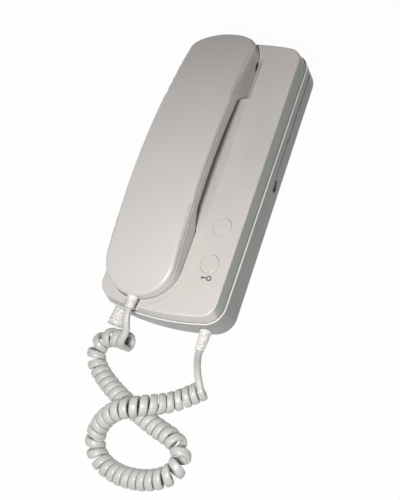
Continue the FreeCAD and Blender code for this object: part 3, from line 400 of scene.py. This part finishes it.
def ink(name):
    """Slightly worn black print."""
    n = Nodes(name)
    worn = n.noise(2500.0, 4.0, 0.7)
    base = n.ramp(worn, [(0.35, (0.03, 0.03, 0.03)), (0.7, (0.12, 0.115, 0.11))])
    rough = n.span(worn, 0.3, 0.7, 0.45, 0.6)
    return n.finish(base, rough)


COVER_FACE = (0.575, 0.56, 0.55)
# The cover's darker, greener side colour is painted shade on its long outer sides
COVER_PAINTED_SIDE_SHADE = (0.34, 0.36, 0.335)
# The seam bead's light colour is a painted highlight of the light caught by the seam ledge
PAINTED_HIGHLIGHT_BEAD = (0.66, 0.68, 0.67)

# What builds the material of each slot, called with the slot's name
MATERIALS = {
    "housing_plastic": lambda n: moulded_plastic(n, (0.30, 0.31, 0.305), 0.34),
    # side= paints shade on the cover's long outer sides
    "cover_plastic": lambda n: moulded_plastic(n, COVER_FACE, 0.32, side=COVER_PAINTED_SIDE_SHADE),
    "handset_plastic": lambda n: polished_plastic(n, (0.57, 0.558, 0.545), 0.3),
    "button_plastic": lambda n: moulded_plastic(n, (0.58, 0.56, 0.55), 0.34, 0.0003),
    "pad_plastic": lambda n: dull_plastic(n, (0.30, 0.31, 0.30)),
    "dark_plastic": lambda n: dull_plastic(n, (0.02, 0.02, 0.02)),
    "cord_vinyl": lambda n: vinyl(n, (0.52, 0.54, 0.515)),
    "clear_vinyl": lambda n: clear_vinyl(n, (0.80, 0.79, 0.77)),
    "zinc_steel": lambda n: plated_steel(n, (0.62, 0.63, 0.64)),
    "spring_steel": lambda n: plated_steel(n, (0.42, 0.42, 0.43)),
    "terminal_brass": lambda n: plated_steel(n, (0.72, 0.52, 0.22)),
    "board_laminate": lambda n: board_laminate(n, (0.03, 0.16, 0.07)),
    "paper_cone": lambda n: pressed_paper(n, (0.03, 0.028, 0.026)),
    "gasket_foam": lambda n: dull_plastic(n, (0.02, 0.02, 0.02), 0.8),
    "capsule_can": lambda n: plated_steel(n, (0.70, 0.70, 0.70)),
}


def paint_nodes():
    """Every CAD node gets the material of its slot."""
    made = {slot: build(slot) for slot, build in MATERIALS.items()}
    for part in frame["record"]["subparts"]:
        node = frame["nodes"][part["node"]]
        node.data.materials.clear()
        node.data.materials.append(made[part["material_slot"]])
    return made


# Cord

def curve_points(points, resolution):
    """Even points of the smooth spline that has these points, in millimetres, as its poles."""
    data = bpy.data.curves.new("route", "CURVE")
    data.dimensions = "3D"
    data.resolution_u = resolution
    spline = data.splines.new("NURBS")
    spline.points.add(len(points) - 1)
    for pole, place in zip(spline.points, points):
        pole.co = (*place, 1.0)
    spline.order_u = 3
    spline.use_endpoint_u = True
    route = bpy.data.objects.new("route", data)
    bpy.context.scene.collection.objects.link(route)
    mesh = bpy.data.meshes.new_from_object(route)
    found = np.array([v.co for v in mesh.vertices])
    bpy.data.meshes.remove(mesh)
    bpy.data.objects.remove(route)
    return found


def even_points(points, count):
    """Even points along a line; columns after the first three go along with their points."""
    run = np.concatenate([[0], np.cumsum(np.linalg.norm(np.diff(points[:, :3], axis=0), axis=1))])
    at = np.linspace(0, run[-1], count)
    return np.column_stack([np.interp(at, run, column) for column in points.T])


def unit(v):
    return v / np.linalg.norm(v, axis=-1, keepdims=True)


def helix_points():
    """The coil's centreline, with the pitch opened where its axis bends, and its outward sides."""
    axis = even_points(curve_points(COIL_AXIS, AXIS_SEGMENTS), AXIS_POINTS)
    radius = (COIL_DIAMETER - WIRE) / 2
    along = unit(np.gradient(axis, axis=0))
    spans = np.linalg.norm(np.diff(axis, axis=0), axis=1)
    step = spans.mean()
    reach = BEND_REACH
    bend = np.zeros(len(axis))
    cosines = (along[2 * reach:] * along[:-2 * reach]).sum(1).clip(-1, 1)
    bend[reach:-reach] = np.arccos(cosines) / (2 * reach * step)
    pitch = np.maximum(COIL_PITCH, (WIRE + TURN_GAP + PITCH_SPARE) / (1 - radius * bend))
    padded = np.pad(pitch, PITCH_REACH, mode="edge")
    near = np.lib.stride_tricks.sliding_window_view(padded, 2 * PITCH_REACH + 1)
    smooth = np.maximum(near.mean(1), (pitch + near.max(1)) / 2)
    # One side of the axis, carried along it without twist
    side = np.zeros_like(axis)
    side[0] = unit(np.cross([0, 0, 1.0], along[0]))
    for i in range(1, len(axis)):
        side[i] = unit(side[i - 1] - along[i] * (side[i - 1] @ along[i]))
    # The number of turns that lets the coil end on top
    level = unit(np.cross([0, 0, 1.0], along[-1]))
    up = np.cross(along[-1], level)
    twist = math.atan2(side[-1] @ up, side[-1] @ level)
    top = (twist - math.pi / 2) / (2 * math.pi) % 1.0
    turns = np.concatenate([[0], np.cumsum(2 * spans / (smooth[1:] + smooth[:-1]))])
    turns *= (math.floor(turns[-1] - top) + top) / turns[-1]
    angle = -2 * math.pi * turns
    lift = np.cross(along, side)
    line = axis + radius * (np.cos(angle)[:, None] * side + np.sin(angle)[:, None] * lift)
    both = even_points(np.hstack([line, axis]), int(turns[-1] * PER_TURN))
    return both[:, :3], unit(both[:, :3] - both[:, 3:])


def coil_section(line, outward):
    """The curls as drawn: a flat cord that nearly fills the room between its neighbours.

    Within half a turn of each end it eases into the section of the leads.
    """
    to_end = np.minimum(np.arange(len(line)), np.arange(len(line))[::-1])
    ease = (to_end / (0.5 * PER_TURN)).clip(0, 1)[:, None]
    drawn = line + outward * (WIRE / 2 - CURL_THIN) * ease
    room = np.full(len(line), CURL_ROOM)
    for k in range(PER_TURN - NEIGHBOUR_REACH, PER_TURN + NEIGHBOUR_REACH + 1):
        apart = np.linalg.norm(drawn[k:] - drawn[:-k], axis=1)
        room[:-k] = np.minimum(room[:-k], apart)
        room[k:] = np.minimum(room[k:], apart)
    wide = ((room - CURL_GAP) / 2)[:, None]
    thin = LEAD_THIN + (CURL_THIN - LEAD_THIN) * ease
    return np.hstack([drawn, outward, LEAD_WIDE + (wide - LEAD_WIDE) * ease, thin])


def lead_section(line, outward):
    """A lead as it is drawn, with the side that it starts with carried along it without twist."""
    along = unit(np.gradient(line, axis=0))
    rows = []
    for place, way in zip(line, along):
        outward = unit(outward - way * (outward @ way))
        rows.append([*place, *outward, LEAD_WIDE, LEAD_THIN])
    return np.array(rows)


def lead_points(tip, straight, middle, coil_end, back):
    """A lead's centreline: straight out of its boot's tip, a bend, and straight into the coil."""
    out = tip + np.array([0, -straight, 0])
    poles = [tip, out, *map(np.array, middle), coil_end + back * LEAD_STRAIGHT, coil_end]
    return even_points(curve_points(poles, LEAD_SEGMENTS), LEAD_POINTS)


def tube(name, rows, sides=24):
    """A flat tube with rounded edges and closed ends.

    Each row holds a place, an outward side and the half width and half thickness, in millimetres.
    """
    path, out, wide, thin = rows[:, :3] * MM, rows[:, 3:6], rows[:, 6] * MM, rows[:, 7] * MM
    along = unit(np.gradient(path, axis=0))
    out = unit(out - along * (out * along).sum(1)[:, None])
    across = np.cross(along, out)
    angles = np.linspace(0, 2 * math.pi, sides, endpoint=False)
    flat_wide = np.sign(np.cos(angles)) * np.abs(np.cos(angles)) ** (2 / SECTION_POWER)
    flat_thin = np.sign(np.sin(angles)) * np.abs(np.sin(angles)) ** (2 / SECTION_POWER)
    rings = (path[:, None, :] + (wide[:, None] * flat_wide)[:, :, None] * across[:, None, :]
             + (thin[:, None] * flat_thin)[:, :, None] * out[:, None, :])
    vertices = rings.reshape(-1, 3)
    faces = []
    for i in range(len(path) - 1):
        for j in range(sides):
            k = (j + 1) % sides
            faces.append((i * sides + j, i * sides + k, (i + 1) * sides + k, (i + 1) * sides + j))
    faces.append(tuple(reversed(range(sides))))
    faces.append(tuple((len(path) - 1) * sides + j for j in range(sides)))
    mesh = bpy.data.meshes.new(name)
    mesh.from_pydata(vertices.tolist(), [], faces)
    mesh.polygons.foreach_set("use_smooth", [True] * len(mesh.polygons))
    piece = bpy.data.objects.new(name, mesh)
    bpy.context.scene.collection.objects.link(piece)
    return piece


def make_cord(material):
    """The whole cord from the handset's boot to the base's, as one tube."""
    coil, outward = helix_points()
    start, end = coil[0], coil[-1]
    up = np.array([0, 0, 1.0])
    out = unit(coil[-1] - coil[-3])
    handset_tip = boot_tip("handset_boot")
    base_tip = boot_tip("base_boot")
    first = lead_points(handset_tip, LEAD_STRAIGHT, HANDSET_LEAD, start + up * WIRE, up)
    last = lead_points(base_tip, BASE_LEAD_STRAIGHT, BASE_LEAD, end + out * WIRE, out)
    path = np.concatenate([first, coil, last[::-1]]) * MM
    path = even_points(path, len(path) + MORE_POINTS)
    drawn = np.concatenate([
        lead_section(first[::-1], outward[0])[::-1],
        coil_section(coil, outward),
        lead_section(last[::-1], outward[-1]),
    ])
    cord = tube("cord", even_points(drawn, len(drawn) + MORE_POINTS))
    cord.data.materials.append(material)
    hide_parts("handset_lead", "cord_coil", "base_lead")
    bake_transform(cord)


def boot_tip(node):
    """Where the cord comes out of a boot, in millimetres."""
    low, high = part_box(node)
    return np.array([(low.x + high.x) / 2, low.y, (low.z + high.z) / 2]) / MM


# Light lines round the base and the buttons; the seam bead's light colour is a painted highlight

def seam_height(y):
    """How high the seam lies at a place along the base, in millimetres."""
    return SEAM_HEIGHT - SEAM_FALL * y / BASE_LENGTH


def make_seam_bead(material):
    """A bead on the rear housing's rim, all round the seam, in a light colour that is a painted
    highlight of the seam ledge.
    """
    housing = frame["nodes"]["rear_housing"]
    places = [housing.matrix_world @ v.co for v in housing.data.vertices]
    rim = [p for p in places if abs(p.z / MM - seam_height(p.y / MM)) < SEAM_NEAR]
    around = [rim[k] for k in geometry.convex_hull_2d([p.xy for p in rim])]
    line = np.array([*around, around[0]]) / MM
    line[:, :2] -= BEAD_INSET * unit(line[:, :2])
    line = even_points(line, BEAD_POINTS)
    rows = np.hstack([line, np.tile([0, 0, 1.0, BEAD_WIDE, BEAD_HIGH], (BEAD_POINTS, 1))])
    piece = tube("seam_bead", rows, SMALL_TUBE_SIDES)
    piece.data.materials.append(material)
    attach(piece, "base")


def make_button_seal(name, node, material):
    """A thin ring in the gap round a button, just below the face, so that the gap looks faint."""
    low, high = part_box(node)
    x, y = (low.x + high.x) / 2 / MM, (low.y + high.y) / 2 / MM
    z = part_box("front_cover")[1].z / MM - SEAL_SINK
    angles = np.linspace(0, 2 * math.pi, SEAL_POINTS)
    radius = BUTTON_RADIUS + BUTTON_GAP - SEAL_WIDE
    rows = np.column_stack([
        x + radius * np.cos(angles),
        y + radius * np.sin(angles),
        np.full(SEAL_POINTS, z),
        np.tile([0, 0, 1.0, SEAL_WIDE, SEAL_HIGH], (SEAL_POINTS, 1)),
    ])
    piece = tube(name, rows, SMALL_TUBE_SIDES)
    piece.data.materials.append(material)
    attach(piece, "base")


# Key pictogram under the lower button

def make_key_mark(material):
    """A small printed key: a ring bow at the right, a shank and two teeth."""
    mesh = bmesh.new()
    centre = KEY_RIGHT - KEY_BOW
    angles = np.linspace(0, 2 * math.pi, KEY_SIDES, endpoint=False)
    rings = []
    for radius in (KEY_BOW, KEY_BOW - KEY_RING):
        places = [(centre + radius * math.cos(t), KEY_Y + radius * math.sin(t), 0) for t in angles]
        rings.append([mesh.verts.new(place) for place in places])
    for j in range(KEY_SIDES):
        k = (j + 1) % KEY_SIDES
        mesh.faces.new((rings[0][j], rings[0][k], rings[1][k], rings[1][j]))
    under = KEY_Y - KEY_SHANK
    bars = [(KEY_LEFT, centre - KEY_BOW + KEY_OVERLAP, under, KEY_Y + KEY_SHANK)]
    for across, length in zip(KEY_TOOTH_PLACES, (KEY_TOOTH, KEY_SHORT_TOOTH)):
        left = KEY_LEFT + across
        bars.append((left, left + KEY_TOOTH_WIDE, under - length, under))
    for left, right, low, high in bars:
        corners = ((left, low, 0), (right, low, 0), (right, high, 0), (left, high, 0))
        mesh.faces.new([mesh.verts.new(corner) for corner in corners])
    top = bmesh.ops.extrude_face_region(mesh, geom=list(mesh.faces))
    moved = [v for v in top["geom"] if isinstance(v, bmesh.types.BMVert)]
    bmesh.ops.translate(mesh, verts=moved, vec=(0, 0, KEY_THICK))
    data = bpy.data.meshes.new("key_mark")
    mesh.to_mesh(data)
    mesh.free()
    face_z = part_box("front_cover")[1].z
    data.transform(Matrix.Translation((0, 0, face_z - KEY_SINK * MM)) @ Matrix.Scale(MM, 4))
    piece = bpy.data.objects.new("key_mark", data)
    bpy.context.scene.collection.objects.link(piece)
    data.materials.append(material)
    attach(piece, "base")


# Stage and light

def seen_rays(tree, reflected_share):
    """A socket that is 1 for rays seen straight or through a clear surface, less if reflected."""
    rays = tree.nodes.new("ShaderNodeLightPath").outputs

    def math_node(operation, a, b):
        node = tree.nodes.new("ShaderNodeMath")
        node.operation = operation
        tree.links.new(a, node.inputs[0])
        if isinstance(b, float):
            node.inputs[1].default_value = b
        else:
            tree.links.new(b, node.inputs[1])
        return node.outputs[0]

    straight = math_node("MAXIMUM", rays["Is Camera Ray"], rays["Is Transmission Ray"])
    reflected = math_node("MULTIPLY", rays["Is Glossy Ray"], reflected_share)
    return math_node("MAXIMUM", straight, reflected)


def make_floor():
    """A floor that is white where it is seen and keeps the object's shadow."""
    data = bpy.data.meshes.new("floor")
    half = FLOOR_HALF
    corners = [(-half, -half, 0), (half, -half, 0), (half, half, 0), (-half, half, 0)]
    data.from_pydata(corners, [], [(0, 1, 2, 3)])
    floor = bpy.data.objects.new("floor", data)
    bpy.context.scene.collection.objects.link(floor)
    floor.location.z = -FLOOR_DROP
    n = Nodes("floor")
    n.shader.inputs["Base Color"].default_value = FLOOR_GREY
    n.shader.inputs["Roughness"].default_value = 0.9
    n.shader.inputs["Specular IOR Level"].default_value = 0.1
    share = n.add("ShaderNodeMath", operation="MULTIPLY")
    n.link(seen_rays(n.tree, 1.0), share.inputs[0])
    share.inputs[1].default_value = FLOOR_WHITE
    glow = n.add("ShaderNodeEmission")
    glow.inputs["Color"].default_value = WHITE
    blend = n.add("ShaderNodeMixShader")
    n.link(share.outputs[0], blend.inputs[0])
    n.link(n.shader.outputs[0], blend.inputs[1])
    n.link(glow.outputs[0], blend.inputs[2])
    n.link(blend.outputs[0], n.tree.nodes["Material Output"].inputs["Surface"])
    data.materials.append(n.material)


def make_world():
    """White where it is seen, and much weaker as a light."""
    world = bpy.data.worlds.new("world")
    bpy.context.scene.world = world
    world.use_nodes = True
    tree = world.node_tree
    background = tree.nodes["Background"]
    level = tree.nodes.new("ShaderNodeMix")
    level.data_type = "FLOAT"
    tree.links.new(seen_rays(tree, WORLD_REFLECTED), level.inputs[0])
    level.inputs[2].default_value = WORLD_STRENGTH
    level.inputs[3].default_value = 1.0
    tree.links.new(level.outputs[0], background.inputs["Strength"])
    background.inputs["Color"].default_value = WHITE


def area_light(name, place, target, size, power, colour):
    """A square lamp that is turned towards its target."""
    data = bpy.data.lights.new(name, "AREA")
    data.size = size
    data.energy = power
    data.color = colour
    light = bpy.data.objects.new(name, data)
    bpy.context.scene.collection.objects.link(light)
    light.location = place
    towards = Vector(target) - Vector(place)
    light.rotation_euler = towards.to_track_quat("-Z", "Y").to_euler()


make_camera()
made = paint_nodes()
make_cord(made["cord_vinyl"])
make_key_mark(ink("ink"))
# The seam bead, coloured as a painted highlight of the seam ledge
make_seam_bead(moulded_plastic("bead_painted_highlight", PAINTED_HIGHLIGHT_BEAD, 0.34))
make_button_seal("call_button_seal", "call_button", made["cover_plastic"])
make_button_seal("door_button_seal", "door_button", made["cover_plastic"])
make_floor()
make_world()
area_light(*KEY_LIGHT)
area_light(*RIM_LIGHT)
bpy.context.scene.view_settings.view_transform = "Standard"
